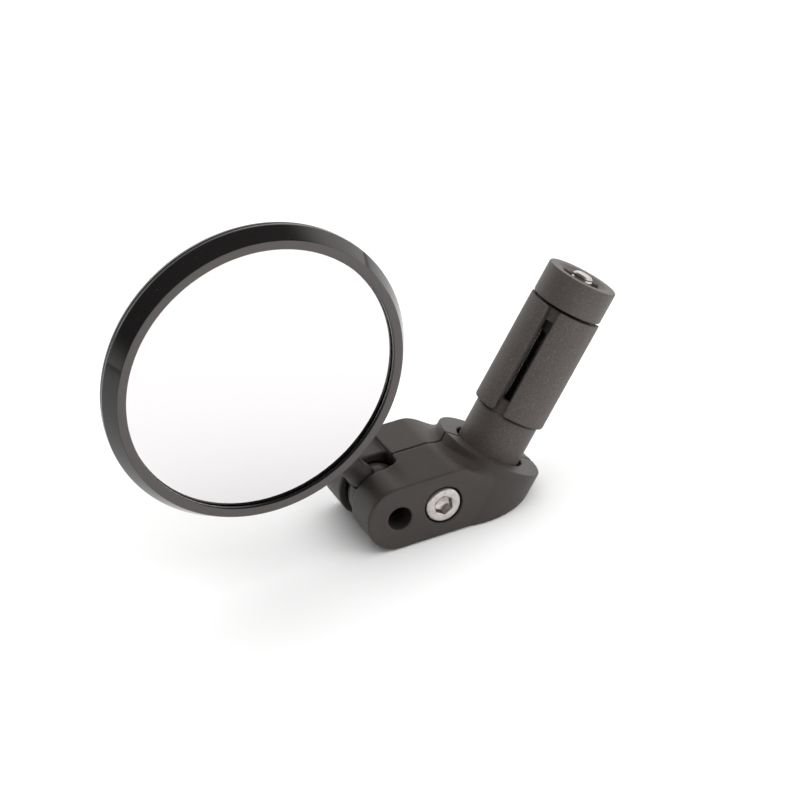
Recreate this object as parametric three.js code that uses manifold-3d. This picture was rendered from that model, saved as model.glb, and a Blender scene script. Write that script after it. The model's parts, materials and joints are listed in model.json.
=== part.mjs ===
// Bar-end bicycle mirror: a round convex mirror on a ball joint, a clamp in two moulded halves,
// and an expanding plug that fits inside a handlebar's open end.
// Millimetres, +Z up. The mirror faces -Y and the plug leans towards +X.
import * as THREE from 'three';
import { mergeVertices } from 'three/addons/utils/BufferGeometryUtils.js';
import Module from 'manifold-3d';

const wasm = await Module();
wasm.setup();

// ---------------------------------------------------------------- driving dimensions
const GAP = 0.3; // running gap between neighbouring pieces

// clamp
const HALF_THICKNESS = 12.4; // parting plane to outer face
const ARM_HALF_HEIGHT = 7.8;
const CROWN = 1.1; // how much the arm's top rises; in the front half it slopes down to the front
const CROWN_END_X = 17; // the crown's slope stops before the collar
const SCREW_X = 10.65; // ball centre to clamp screw
const SLOT_HALF_WIDTH = 3.3; // the slot that the mirror's neck swings in
const SLOT_END_X = 4.2;
const BALL_RADIUS = 6.6;
const BALL_HOLE_RADIUS = 2.8;
const COLLAR_RADIUS = 12.8;
const COLLAR_RIM = 3.0; // height of the collar's rim above the scoop round it
const SCOOP_FILLET = 2.0;
const COLLAR_U = 3.6; // collar face, measured along the plug axis

// plug, measured along its axis from where it crosses the arm's centre line
const PLUG_ANGLE = 55.1; // degrees above the arm
const PLUG_X = 26.1;
const BOSS_RADIUS = 7.55;
const MOUTH_GAP = 0.7; // between the boss and the collar's mouth
const BOSS_TOP_U = 12.8;
const FLANGE_RADIUS = 9.5;
const FLANGE_U = [-1.3, 0.8];
const CORE_RADIUS = 6.95;
const CORE_BORE = 5.0;
const CORE_TOP_U = 39.8;
const CORE_FLOOR_U = 12; // where the bolt's hole widens into the core's bore
const WINDOW_HALF_WIDTH = 1.2;
const WINDOW_U = [16.1, 36.7];
const PAD_RADII = [7.3, 8.5];
const PAD_U = [13.1, 39.9];
const PAD_COUNT = 3;
const PAD_SLOT_ANGLE = 38; // degrees round the axis, of the first slot
const PAD_SLOT_WIDTH = 20; // degrees
const CAP_RADIUS = 8.3;
const CAP_U = [40.5, 48.0];
const BOLT_PROUD = 0.6; // how far the bolt's end stands out of the cap's mouth
const CAP_MOUTH_RADIUS = 6.3;
const CAP_CHAMFER = 0.4;
const CAP_FUNNEL = 2.2; // depth of the cap's sloping mouth
const CAP_WEB = 1.2; // floor under the nut's pocket
const WEDGE_TIP_RADIUS = 3.6;
const WEDGE_LENGTH = 7; // the cap's cone, inside the core

// fasteners, M5
const M5_RADIUS = 2.5;
const M5_HEAD_RADIUS = 4.25;
const M5_HEAD_HEIGHT = 5.0;
const M5_SOCKET = 4.0; // across flats
const M5_NUT = 8.0; // across flats
const M5_NUT_HEIGHT = 4.0;
const WASHER_THICKNESS = 0.8;
const WASHER_RADIUS = 4.35;
const HEAD_CLEARANCE = 0.35; // round a screw's head
const SOCKET_DEPTH = 2.7;
const SCREW_CHAMFER = 0.4;
const CLAMP_SHANK = 18.2;

// mirror
const NECK_ANGLE = 57.2; // degrees above the horizontal, leaning to -X
const ROUND = 56; // sides of the mirror's and the collar's rings
const MIRROR_DISTANCE = 49.6; // ball centre to mirror centre
const NECK_RADIUS = 3.0;
const LIP_Y = -8.4; // plane of the bezel's front lip
const LIP_RADII = [30.3, 32.5];
const WIDEST_Y = -3.75; // plane of the mirror's widest circle
const WIDEST_RADIUS = 34.4;
const GLASS_RADIUS = 31.2;
const GLASS_THICKNESS = 2.0;
const GLASS_CURVE = 400; // radius of the convex face
const GLASS_FRONT_Y = -8.3; // the crown of the convex face
const SHELL_DEPTH = 7.0; // rise of the back shell behind the widest circle
const SHELL_WALL = 1.7;
const GLASS_PAD_RADIUS = 29;
const GLASS_PAD_THICKNESS = 1;
const FOOT_CENTRE = 25; // along the neck
const FOOT_RADIUS = 8;
const PIN_RADIUS = 1.9; // the neck's end inside the ball
const PIN_DEPTH = 3.4;
const FOOT_SCREWS = [21.5, 28.0]; // distances from the ball centre along the neck
const FOOT_SCREW_Y = 6.9; // the foot's rear face
const FOOT_SCREW_RADIUS = 1.3;
const FOOT_HOLE_RADIUS = 1.6;
const FOOT_BOSS_RADIUS = 3.2;

// ---------------------------------------------------------------- materials
const finish = (color, roughness, metalness = 0) => () =>
  new THREE.MeshStandardMaterial({ color, roughness, metalness });
const clampPlastic = finish(0x3a3736, 0.55);
const plugPlastic = finish(0x4a4644, 0.7);
const gripRubber = finish(0x514d4b, 0.85);
const bezelPlastic = finish(0x151414, 0.2);
const brightSteel = finish(0xc9c8c4, 0.25, 1);
const darkSteel = finish(0x2b2a29, 0.4, 1);
const mirrorGlass = finish(0xf2f2f2, 0.03, 1);
const foam = finish(0xe8e6e0, 0.95);

// ---------------------------------------------------------------- geometry helpers
const radians = THREE.MathUtils.degToRad;
const hexRadius = (flats) => flats / Math.sqrt(3);

// Keeps only shared positions, drops the empty triangles at a lathe's axis and faces it outwards.
function closed(geometry) {
  const bare = geometry.clone();
  bare.deleteAttribute('normal');
  bare.deleteAttribute('uv');
  const merged = mergeVertices(bare, 1e-4);
  const index = merged.index.array;
  const kept = [];
  for (let i = 0; i < index.length; i += 3) {
    const [a, b, c] = [index[i], index[i + 1], index[i + 2]];
    if (a !== b && b !== c && c !== a) kept.push(a, b, c);
  }
  merged.setIndex(kept);
  return volume(merged) < 0 ? flipped(merged) : merged;
}

function volume(geometry) {
  const at = geometry.attributes.position;
  const index = geometry.index.array;
  const [a, b, c] = [new THREE.Vector3(), new THREE.Vector3(), new THREE.Vector3()];
  let total = 0;
  for (let i = 0; i < index.length; i += 3) {
    a.fromBufferAttribute(at, index[i]);
    b.fromBufferAttribute(at, index[i + 1]);
    c.fromBufferAttribute(at, index[i + 2]);
    total += a.dot(b.cross(c)) / 6;
  }
  return total;
}

function flipped(geometry) {
  const index = Array.from(geometry.index.array);
  for (let i = 0; i < index.length; i += 3) {
    [index[i], index[i + 1]] = [index[i + 1], index[i]];
  }
  geometry.setIndex(index);
  return geometry;
}

function solid(geometry) {
  const shape = closed(geometry);
  const vertProperties = new Float32Array(shape.attributes.position.array);
  const triVerts = new Uint32Array(shape.index.array);
  return new wasm.Manifold(new wasm.Mesh({ numProp: 3, vertProperties, triVerts }));
}

function geometryOf(manifold) {
  const mesh = manifold.getMesh();
  const geometry = new THREE.BufferGeometry();
  geometry.setAttribute('position', new THREE.BufferAttribute(new Float32Array(mesh.vertProperties), 3));
  geometry.setIndex(new THREE.BufferAttribute(new Uint32Array(mesh.triVerts), 1));
  return geometry;
}

const join = (first, ...rest) => rest.reduce((whole, piece) => whole.add(piece), first);
const cut = (first, ...tools) => tools.reduce((whole, tool) => whole.subtract(tool), first);

// A profile of [radius, height] points turned about the local Y axis.
// A ring's profile repeats its first point at the end.
function turned(profile, segments = 48) {
  return new THREE.LatheGeometry(profile.map(([r, h]) => new THREE.Vector2(r, h)), segments);
}

const ring = (profile, segments) => turned([...profile, profile[0]], segments);

function rod(radius, from, to, segments = 32) {
  return turned([[0, from], [radius, from], [radius, to], [0, to]], segments);
}

// A prism along the local Y axis, from one height to another, over an outline in X and Z.
function prism(outline, from, to, curveSegments = 12) {
  const geometry = new THREE.ExtrudeGeometry(outline, {
    depth: to - from,
    bevelEnabled: false,
    curveSegments,
  });
  return geometry.rotateX(Math.PI / 2).translate(0, to, 0);
}

function polygon(points) {
  return new THREE.Shape(points.map(([x, y]) => new THREE.Vector2(x, y)));
}

function hexagon(flats) {
  const corner = (i) => [
    hexRadius(flats) * Math.cos((i * Math.PI) / 3),
    hexRadius(flats) * Math.sin((i * Math.PI) / 3),
  ];
  return polygon([0, 1, 2, 3, 4, 5].map(corner));
}

function box(low, high) {
  const size = high.map((value, i) => value - low[i]);
  const centre = high.map((value, i) => (value + low[i]) / 2);
  return new THREE.BoxGeometry(...size).translate(...centre);
}

// Points of a circular arc, angles in degrees.
function arc(centre, radius, from, to, steps) {
  const point = (i) => {
    const angle = radians(from + ((to - from) * i) / steps);
    return [centre[0] + radius * Math.cos(angle), centre[1] + radius * Math.sin(angle)];
  };
  return Array.from({ length: steps + 1 }, (_, i) => point(i));
}

// Turns a piece's own Y axis to a direction in the XZ plane, given in degrees above +X,
// with its own Z axis facing the front (-Y).
function leaning(angle) {
  const turn = new THREE.Euler(Math.PI / 2, radians(90 - angle), 0, 'YXZ');
  return new THREE.Matrix4().makeRotationFromEuler(turn);
}

const plugPlace = leaning(PLUG_ANGLE).setPosition(PLUG_X, 0, 0);
const neckPlace = leaning(180 - NECK_ANGLE);
const onPlugAxis = (geometry) => geometry.applyMatrix4(plugPlace);

// ---------------------------------------------------------------- the clamp's two halves
function armOutline() {
  const top = ARM_HALF_HEIGHT + CROWN;
  const shape = new THREE.Shape();
  shape.moveTo(0, -ARM_HALF_HEIGHT);
  shape.absarc(0, 0, ARM_HALF_HEIGHT, -Math.PI / 2, -Math.PI, true);
  shape.absarc(0, 0, ARM_HALF_HEIGHT, Math.PI, radians(112), true);
  shape.lineTo(SLOT_END_X - 0.6, top - 0.35);
  shape.lineTo(SLOT_END_X + 1.4, top);
  shape.lineTo(PLUG_X, top);
  shape.lineTo(PLUG_X + COLLAR_RADIUS, -ARM_HALF_HEIGHT);
  shape.closePath();
  return shape;
}

function clampBody() {
  const arm = solid(prism(armOutline(), -HALF_THICKNESS, HALF_THICKNESS, 10));
  const leftOfPlug = solid(onPlugAxis(box([-60, -60, -20], [0, 60, 20])));
  const column = solid(onPlugAxis(rod(COLLAR_RADIUS, -30, COLLAR_U, ROUND)));
  const aboveFloor = solid(box([0, -20, -ARM_HALF_HEIGHT], [60, 20, 30]));
  const floor = COLLAR_U - COLLAR_RIM;
  const centre = [COLLAR_RADIUS + SCOOP_FILLET, floor + SCOOP_FILLET];
  const fillet = arc(centre, SCOOP_FILLET, 180, 270, 5);
  const [far, high] = [45, floor + 40];
  const scoop = ring([...fillet, [far, floor], [far, high], [COLLAR_RADIUS, high]], ROUND);
  const aboveCollar = rod(COLLAR_RADIUS + 0.5, COLLAR_U, high, ROUND);
  const body = join(arm.intersect(leftOfPlug), column.intersect(aboveFloor));
  return cut(body, ...[scoop, aboveCollar].map((tool) => solid(onPlugAxis(tool))));
}

// The slab above the front half's sloping top.
function crownSlab() {
  const slab = box([-20, -20, 0], [CROWN_END_X, 0, 8]);
  slab.rotateX(Math.atan2(CROWN, HALF_THICKNESS));
  return solid(slab.translate(0, 0, ARM_HALF_HEIGHT + CROWN));
}

// What the back ear's lower top leaves out, so that the arm ends in a step there.
const earStep = () => solid(box([-20, -1, ARM_HALF_HEIGHT], [SLOT_END_X, 20, 20]));

function clampCuts() {
  const slotLength = 30;
  const slot = box([-slotLength, -SLOT_HALF_WIDTH, -20], [SLOT_END_X, SLOT_HALF_WIDTH, 20]);
  const seat = new THREE.SphereGeometry(BALL_RADIUS + GAP, 24, 14);
  const ballHole = rod(BALL_HOLE_RADIUS, -20, 20, 32);
  const screwHole = rod(M5_RADIUS + GAP, -20, 20, 32).translate(SCREW_X, 0, 0);
  const headTop = -HALF_THICKNESS;
  const headSeat = headTop + M5_HEAD_HEIGHT + WASHER_THICKNESS + 0.5;
  const sink = M5_HEAD_RADIUS + HEAD_CLEARANCE;
  const counterbore = rod(sink, -20, headSeat, 36).translate(SCREW_X, 0, 0);
  const nutSeat = HALF_THICKNESS - M5_NUT_HEIGHT - 0.6;
  const nutPocket = prism(hexagon(M5_NUT + 2 * GAP), nutSeat, 20).translate(SCREW_X, 0, 0);
  const inPlane = [slot, seat, ballHole, screwHole, counterbore, nutPocket];
  const mouth = rod(BOSS_RADIUS + MOUTH_GAP, 0, COLLAR_U + 10, 40);
  const pocket = rod(FLANGE_RADIUS + GAP, FLANGE_U[0] - GAP, FLANGE_U[1] + GAP, 48);
  const access = rod(sink, -30, 0, 36);
  const onAxis = [mouth, pocket, access].map(onPlugAxis);
  return [...inPlane, ...onAxis].map(solid);
}

function clampHalves() {
  const whole = cut(clampBody(), ...clampCuts());
  const half = (side) => {
    const reach = [GAP / 2, 30].map((y) => y * side).sort((a, b) => a - b);
    return whole.intersect(solid(box([-60, reach[0], -60], [80, reach[1], 60])));
  };
  return {
    front: geometryOf(cut(half(-1), crownSlab())),
    back: geometryOf(cut(half(1), earStep())),
  };
}

// ---------------------------------------------------------------- fasteners
// A socket head cap screw with its head's top at height 0 and its shank towards +Y.
function capScrew(length) {
  const end = M5_HEAD_HEIGHT + length;
  const profile = [[0, 0], [M5_HEAD_RADIUS - SCREW_CHAMFER, 0], [M5_HEAD_RADIUS, SCREW_CHAMFER],
    [M5_HEAD_RADIUS, M5_HEAD_HEIGHT], [M5_RADIUS, M5_HEAD_HEIGHT], [M5_RADIUS, end - SCREW_CHAMFER],
    [M5_RADIUS - SCREW_CHAMFER, end], [0, end]];
  const socket = prism(hexagon(M5_SOCKET), -1, SOCKET_DEPTH);
  return geometryOf(cut(solid(turned(profile, 32)), solid(socket)));
}

// A hexagon nut from height 0 upwards.
function nut() {
  const body = solid(prism(hexagon(M5_NUT), 0, M5_NUT_HEIGHT));
  return geometryOf(cut(body, solid(rod(M5_RADIUS + GAP, -1, M5_NUT_HEIGHT + 1))));
}

function washer() {
  const inner = M5_RADIUS + GAP;
  return closed(ring([[inner, 0], [WASHER_RADIUS, 0], [WASHER_RADIUS, WASHER_THICKNESS],
    [inner, WASHER_THICKNESS]], 28));
}

// A small pan head screw, head up at height 0, shank towards -Y.
function footScrew() {
  const head = [[0, 1.9], [1.6, 1.75], [2.4, 1.1], [2.5, 0.5], [2.5, 0]];
  const shank = [[FOOT_SCREW_RADIUS, 0], [FOOT_SCREW_RADIUS, -6.2], [0.6, -7], [0, -7]];
  return closed(turned([...head, ...shank], 20));
}

// ---------------------------------------------------------------- plug
function plugCore() {
  const outside = [[CORE_BORE, CORE_TOP_U], [CORE_RADIUS, CORE_TOP_U], [CORE_RADIUS, BOSS_TOP_U],
    [BOSS_RADIUS - 0.5, BOSS_TOP_U], [BOSS_RADIUS, BOSS_TOP_U - 0.5], [BOSS_RADIUS, FLANGE_U[1]],
    [FLANGE_RADIUS, FLANGE_U[1]], [FLANGE_RADIUS, FLANGE_U[0]]];
  const recess = M5_HEAD_RADIUS + HEAD_CLEARANCE;
  const recessEnd = FLANGE_U[0] + M5_HEAD_HEIGHT + WASHER_THICKNESS + 2 * GAP;
  const hole = M5_RADIUS + HEAD_CLEARANCE;
  const inside = [[recess, FLANGE_U[0]], [recess, recessEnd], [hole, recessEnd],
    [hole, CORE_FLOOR_U], [CORE_BORE, CORE_FLOOR_U + 2]];
  const core = solid(ring([...outside, ...inside], 48));
  const window = (i) => {
    const angle = radians(PAD_SLOT_ANGLE + (360 / PAD_COUNT) * i);
    const half = WINDOW_HALF_WIDTH;
    return solid(box([-12, WINDOW_U[0], -half], [0, WINDOW_U[1], half]).rotateY(angle));
  };
  return geometryOf(cut(core, window(0), window(1), window(2)));
}

// One grip pad: an arc between two slots. Angles run from the plug's upper side towards its front.
function gripPad(number) {
  const share = 360 / PAD_COUNT;
  const from = PAD_SLOT_ANGLE + PAD_SLOT_WIDTH / 2 + share * number;
  const to = PAD_SLOT_ANGLE - PAD_SLOT_WIDTH / 2 + share * (number + 1);
  const steps = 14;
  const outer = arc([0, 0], PAD_RADII[1], 180 - from, 180 - to, steps);
  const inner = arc([0, 0], PAD_RADII[0], 180 - to, 180 - from, steps);
  return closed(prism(polygon([...outer, ...inner]), PAD_U[0], PAD_U[1]));
}

function wedgeCap() {
  const [low, high] = CAP_U;
  const bore = M5_RADIUS + HEAD_CLEARANCE;
  const funnel = high - CAP_FUNNEL;
  const profile = [[bore, low - WEDGE_LENGTH], [WEDGE_TIP_RADIUS, low - WEDGE_LENGTH],
    [CORE_BORE - CAP_CHAMFER, low], [CAP_RADIUS - CAP_CHAMFER, low], [CAP_RADIUS, low + CAP_CHAMFER],
    [CAP_RADIUS, high - CAP_CHAMFER], [CAP_RADIUS - CAP_CHAMFER, high], [CAP_MOUTH_RADIUS, high],
    [CAP_MOUTH_RADIUS - CAP_FUNNEL / 2.4, funnel], [bore, funnel]];
  const body = solid(ring(profile, 48));
  return geometryOf(cut(body, solid(prism(hexagon(M5_NUT + 2 * GAP), low + CAP_WEB, high))));
}

// ---------------------------------------------------------------- mirror
// Height of the convex face at a distance from the mirror's centre.
const glassFace = (radius) => GLASS_FRONT_Y + (radius * radius) / (2 * GLASS_CURVE);

function disc(radius, from, to, steps, sides) {
  const radii = Array.from({ length: steps + 1 }, (_, i) => (radius * i) / steps);
  const front = radii.map((r) => [r, glassFace(r) + from]);
  const back = radii.map((r) => [r, glassFace(r) + to]).reverse();
  return closed(turned([...front, ...back], sides));
}

function bezel() {
  const [inner, outer] = LIP_RADII;
  const lipBack = glassFace(inner) - GAP;
  const rear = WIDEST_Y - 0.15;
  return closed(ring([[inner, LIP_Y + 0.3], [inner + 0.3, LIP_Y], [outer - 0.3, LIP_Y],
    [outer, LIP_Y + 0.3], [WIDEST_RADIUS, rear - 0.7], [WIDEST_RADIUS, rear], [33.2, rear],
    [31.6, lipBack + 0.8], [31.6, lipBack], [inner, lipBack]], ROUND));
}

// The outer side of the back shell, from its edge to its middle.
function shellOutside(extra = 0) {
  const edge = WIDEST_Y + 0.15;
  const points = [[WIDEST_RADIUS, 0], [WIDEST_RADIUS - 0.4, 1.4], [33, 2.9], [30.5, 4.2],
    [25, 5.4], [16, 6.4]];
  const moved = points.map(([radius, rise]) => [radius + extra, edge + rise + extra]);
  return [...moved, [0, edge + SHELL_DEPTH + extra]];
}

function backShell() {
  const edge = WIDEST_Y + 0.15;
  const inner = edge - SHELL_WALL;
  const inside = [[0, inner + SHELL_DEPTH], [16, inner + 6.4], [25, inner + 5.4], [30, inner + 4.2],
    [31.4, edge + 2], [31.4, edge]];
  const shell = solid(turned([...inside, ...shellOutside()], ROUND));
  const under = solid(turned([[0, -8], [WIDEST_RADIUS, -8], ...shellOutside()], ROUND));
  const bosses = FOOT_SCREWS.map((distance) => {
    const tube = rod(FOOT_BOSS_RADIUS, -2.6, 4, 24).translate(0, 0, distance - MIRROR_DISTANCE);
    return solid(tube.rotateY(-radians(90 - NECK_ANGLE))).intersect(under);
  });
  const holes = FOOT_SCREWS.map((distance) => {
    const hole = rod(FOOT_HOLE_RADIUS, -4, 9, 20).translate(0, 0, distance - MIRROR_DISTANCE);
    return solid(hole.rotateY(-radians(90 - NECK_ANGLE)));
  });
  return cut(join(shell, ...bosses), ...holes);
}

// The neck and its foot, in the neck's own frame: Y along the neck, Z to the front, X across.
function stalk() {
  const neck = [[0, -PIN_DEPTH], [PIN_RADIUS, -PIN_DEPTH], [PIN_RADIUS, 4.2], [NECK_RADIUS, 6.9],
    [NECK_RADIUS - 0.3, 9.5], [NECK_RADIUS, 12], [NECK_RADIUS, 15], [0, 15]];
  const plan = new THREE.Shape();
  plan.moveTo(-NECK_RADIUS, 11.5);
  plan.bezierCurveTo(-NECK_RADIUS, 16, -FOOT_RADIUS, 18, -FOOT_RADIUS, FOOT_CENTRE - 0.5);
  plan.absarc(0, FOOT_CENTRE, FOOT_RADIUS, Math.PI, 0, true);
  plan.bezierCurveTo(FOOT_RADIUS, 18, NECK_RADIUS, 16, NECK_RADIUS, 11.5);
  plan.closePath();
  const side = polygon([[11.5, 2.2], [11.5, -3.0], [14.5, -4.0], [19, -6.2], [24, -6.9],
    [31, -6.2], [34, -5.2], [34, 2.2]]);
  const thick = { depth: 30, bevelEnabled: false, curveSegments: 10 };
  const planSolid = new THREE.ExtrudeGeometry(plan, thick).translate(0, 0, -thick.depth / 2);
  const sideSolid = new THREE.ExtrudeGeometry(side, thick).translate(0, 0, -thick.depth / 2);
  const turn = new THREE.Matrix4().makeBasis(
    new THREE.Vector3(0, 1, 0), new THREE.Vector3(0, 0, 1), new THREE.Vector3(1, 0, 0));
  sideSolid.applyMatrix4(turn);
  const foot = solid(planSolid).intersect(solid(sideSolid));
  const whole = join(solid(turned(neck, 32)), foot);
  const placed = solid(geometryOf(whole).applyMatrix4(neckPlace));
  return cut(placed, ...stalkCuts());
}

function stalkCuts() {
  const edge = [WIDEST_RADIUS + GAP, LIP_Y];
  const envelope = turned([[0, LIP_Y], edge, ...shellOutside(GAP)], ROUND);
  const holes = FOOT_SCREWS.map((distance) =>
    rod(FOOT_HOLE_RADIUS, -20, 20, 20).translate(0, 0, distance).rotateY(-radians(90 - NECK_ANGLE)));
  return [envelope.translate(...mirrorCentre()), ...holes].map(solid);
}

const mirrorCentre = () => [
  -MIRROR_DISTANCE * Math.cos(radians(NECK_ANGLE)), 0,
  MIRROR_DISTANCE * Math.sin(radians(NECK_ANGLE))];

function stalkBall() {
  const ball = new THREE.SphereGeometry(BALL_RADIUS, 24, 14);
  const bore = PIN_RADIUS + GAP;
  const floor = -PIN_DEPTH - 0.4;
  const socket = turned([[0, floor], [bore, floor], [bore, 4.3], [4.6, 10], [0, 10]], 32);
  return geometryOf(cut(solid(ball), solid(socket)));
}

// ---------------------------------------------------------------- the assembly
const group = new THREE.Group();

function add(parent, name, geometry, material) {
  const mesh = new THREE.Mesh(geometry, material());
  mesh.name = name;
  parent.add(mesh);
  return mesh;
}

function framed(matrix) {
  const frame = new THREE.Group();
  frame.applyMatrix4(matrix);
  return frame;
}

function addClamp(parent) {
  const halves = clampHalves();
  add(parent, 'clamp_front_half', halves.front, clampPlastic);
  add(parent, 'clamp_back_half', halves.back, clampPlastic);
  const screw = add(parent, 'clamp_screw', capScrew(CLAMP_SHANK), brightSteel);
  screw.position.set(SCREW_X, -HALF_THICKNESS - 0.1, 0);
  const clampWasher = add(parent, 'clamp_washer', washer(), brightSteel);
  clampWasher.position.set(SCREW_X, -HALF_THICKNESS + M5_HEAD_HEIGHT + 0.2, 0);
  const clampNut = add(parent, 'clamp_nut', nut(), brightSteel);
  clampNut.position.set(SCREW_X, HALF_THICKNESS - M5_NUT_HEIGHT - 0.3, 0);
}

function addPlug(parent) {
  const plug = framed(plugPlace);
  add(plug, 'plug_core', plugCore(), plugPlastic);
  for (let i = 0; i < PAD_COUNT; i += 1) {
    add(plug, `grip_pad_${i + 1}`, gripPad(i), gripRubber);
  }
  add(plug, 'wedge_cap', wedgeCap(), plugPlastic);
  const capNut = add(plug, 'wedge_nut', nut(), darkSteel);
  capNut.position.y = CAP_U[0] + CAP_WEB + GAP;
  const boltHead = FLANGE_U[0] + 0.1;
  const shank = CAP_U[1] + BOLT_PROUD - boltHead - M5_HEAD_HEIGHT;
  const bolt = add(plug, 'expander_bolt', capScrew(shank), brightSteel);
  bolt.position.y = boltHead;
  const boltWasher = add(plug, 'bolt_washer', washer(), brightSteel);
  boltWasher.position.y = boltHead + M5_HEAD_HEIGHT + 0.2;
  parent.add(plug);
}

function addMirror(parent) {
  const neck = framed(neckPlace);
  add(neck, 'stalk_ball', stalkBall(), clampPlastic);
  parent.add(neck);
  add(parent, 'mirror_stalk', geometryOf(stalk()), clampPlastic);
  const head = new THREE.Group();
  head.position.set(...mirrorCentre());
  add(head, 'mirror_bezel', bezel(), bezelPlastic);
  add(head, 'mirror_glass', disc(GLASS_RADIUS, 0, GLASS_THICKNESS, 5, ROUND), mirrorGlass);
  const padFront = GLASS_THICKNESS + GAP;
  const pad = disc(GLASS_PAD_RADIUS, padFront, padFront + GLASS_PAD_THICKNESS, 3, 40);
  add(head, 'glass_pad', pad, foam);
  add(head, 'mirror_back_shell', geometryOf(backShell()), bezelPlastic);
  parent.add(head);
  FOOT_SCREWS.forEach((distance, i) => {
    const screw = add(parent, `foot_screw_${i + 1}`, footScrew(), brightSteel);
    const lean = radians(NECK_ANGLE);
    screw.position.set(-distance * Math.cos(lean), FOOT_SCREW_Y, distance * Math.sin(lean));
  });
}

const joined = new THREE.Group();
addClamp(joined);
addPlug(joined);
addMirror(joined);

// The object's origin is under the middle of its box, on the surface that it stands on.
const left = mirrorCentre()[0] - WIDEST_RADIUS;
const lean = radians(PLUG_ANGLE);
const right = PLUG_X + (CAP_U[1] - CAP_CHAMFER) * Math.cos(lean) + CAP_RADIUS * Math.sin(lean);
joined.position.set(-(left + right) / 2, 0, ARM_HALF_HEIGHT);
group.add(joined);

export default group;
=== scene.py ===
# %% [markdown]
# A bar-end bicycle mirror: a round convex mirror on a ball-jointed neck, a moulded clamp in two
# halves, and an expanding plug for a handlebar's open end.
#
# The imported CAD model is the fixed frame. Its bodies carry the joints and its nodes give every
# size. This lesson builds the fine surfaces round that frame: rounded mouldings, turned rings,
# real screws and the finishes.

import json
import math

import bpy
import numpy as np
from mathutils import Matrix, Vector


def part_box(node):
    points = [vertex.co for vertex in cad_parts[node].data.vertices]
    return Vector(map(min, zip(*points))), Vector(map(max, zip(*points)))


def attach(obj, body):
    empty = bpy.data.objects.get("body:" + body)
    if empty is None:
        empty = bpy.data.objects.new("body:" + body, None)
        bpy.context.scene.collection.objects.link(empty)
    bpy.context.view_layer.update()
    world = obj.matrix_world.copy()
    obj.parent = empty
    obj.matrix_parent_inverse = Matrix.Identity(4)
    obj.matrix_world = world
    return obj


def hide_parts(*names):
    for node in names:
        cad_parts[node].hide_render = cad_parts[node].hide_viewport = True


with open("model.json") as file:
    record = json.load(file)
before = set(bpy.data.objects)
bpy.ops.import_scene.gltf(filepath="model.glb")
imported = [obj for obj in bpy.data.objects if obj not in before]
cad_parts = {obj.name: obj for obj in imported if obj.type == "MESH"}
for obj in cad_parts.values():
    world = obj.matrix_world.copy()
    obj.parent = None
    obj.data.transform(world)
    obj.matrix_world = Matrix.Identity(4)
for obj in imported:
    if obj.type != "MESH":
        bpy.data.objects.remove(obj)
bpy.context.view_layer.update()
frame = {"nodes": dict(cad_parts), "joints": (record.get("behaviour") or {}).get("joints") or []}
MM = 0.001

# %% [markdown]
# Three directions matter: the plug's axis, the neck's axis and the mirror's facing. Each gets a
# place of its own, a matrix whose Z runs along it, so a turned piece is drawn in its own frame
# and then set down. The joints say where the axes are, so nothing is measured twice. One running
# clearance between neighbouring pieces serves the whole object.

# %% Places
joints = {joint["name"]: joint for joint in frame["joints"]}
FRONT = Vector((0, -1, 0))
BACK = Vector((0, 1, 0))
GAP = 0.3


def place(origin, forward, side_up):
    """A frame at origin with Z along forward, and with side_up close to its X."""
    z = Vector(forward).normalized()
    x = (Vector(side_up) - z * z.dot(Vector(side_up))).normalized()
    turn = Matrix((x, z.cross(x), z)).transposed().to_4x4()
    return Matrix.Translation(Vector(origin)) @ turn


ball_centre = Vector(joints["mirror_swing"]["pos_m"])
plug_foot = Vector(joints["plug_swivel"]["pos_m"])
clamp_place = Matrix.Translation(ball_centre)
plug_place = place(plug_foot, joints["plug_swivel"]["axis"], (-1, 0, 1))
neck_place = place(ball_centre, joints["mirror_twist"]["axis"], (-1, 0, -1))
glass_low, glass_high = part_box("mirror_glass")
mirror_middle = (glass_low + glass_high) / 2
mirror_middle.y = ball_centre.y
mirror_place = place(mirror_middle, FRONT, (1, 0, 0))


def span(node, where):
    """Lowest and highest corner of a CAD node in a place's own axes, in millimetres."""
    back = where.inverted()
    points = [back @ vertex.co for vertex in frame["nodes"][node].data.vertices]
    low = [min(point[i] for point in points) / MM for i in range(3)]
    high = [max(point[i] for point in points) / MM for i in range(3)]
    return low, high


print("neck to mirror centre:", round((mirror_middle - ball_centre).length / MM, 1), "mm")

# %% [markdown]
# A turned piece is a profile spun round its own axis. Blender has a Screw modifier for that, but
# building the rings by hand keeps the mesh closed at the axis and lets a thread or a hexagon
# take the place of a circle. The profile is a list of radius and height, in millimetres, and
# corners are rounded before it is spun, because no moulded or machined edge is truly sharp.

# %% Turned pieces
SIDES = 192


def rounded(profile, radius, steps=4):
    """The profile with each inner corner replaced by a small arc."""
    points = [Vector(point) for point in profile]
    out = [points[0]]
    for before, corner, after in zip(points, points[1:], points[2:]):
        a, b = before - corner, after - corner
        reach = min(radius, a.length * 0.45, b.length * 0.45)
        start, end = corner + a.normalized() * reach, corner + b.normalized() * reach
        for step in range(steps + 1):
            t = step / steps
            out.append(start * (1 - t) ** 2 + corner * (2 * t * (1 - t)) + end * t * t)
    return out + [points[-1]]


def around(sides):
    """Evenly spaced angles, one for each side."""
    return [2 * math.pi * i / sides for i in range(sides)]


def bands(rows, sides, ring):
    """Four-sided faces between neighbouring rows of points; a ring's last row meets its first."""
    faces = []
    for row in range(rows if ring else rows - 1):
        upper = (row + 1) % rows
        for i in range(sides):
            j = (i + 1) % sides
            faces.append((row * sides + i, row * sides + j, upper * sides + j, upper * sides + i))
    return faces


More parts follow.
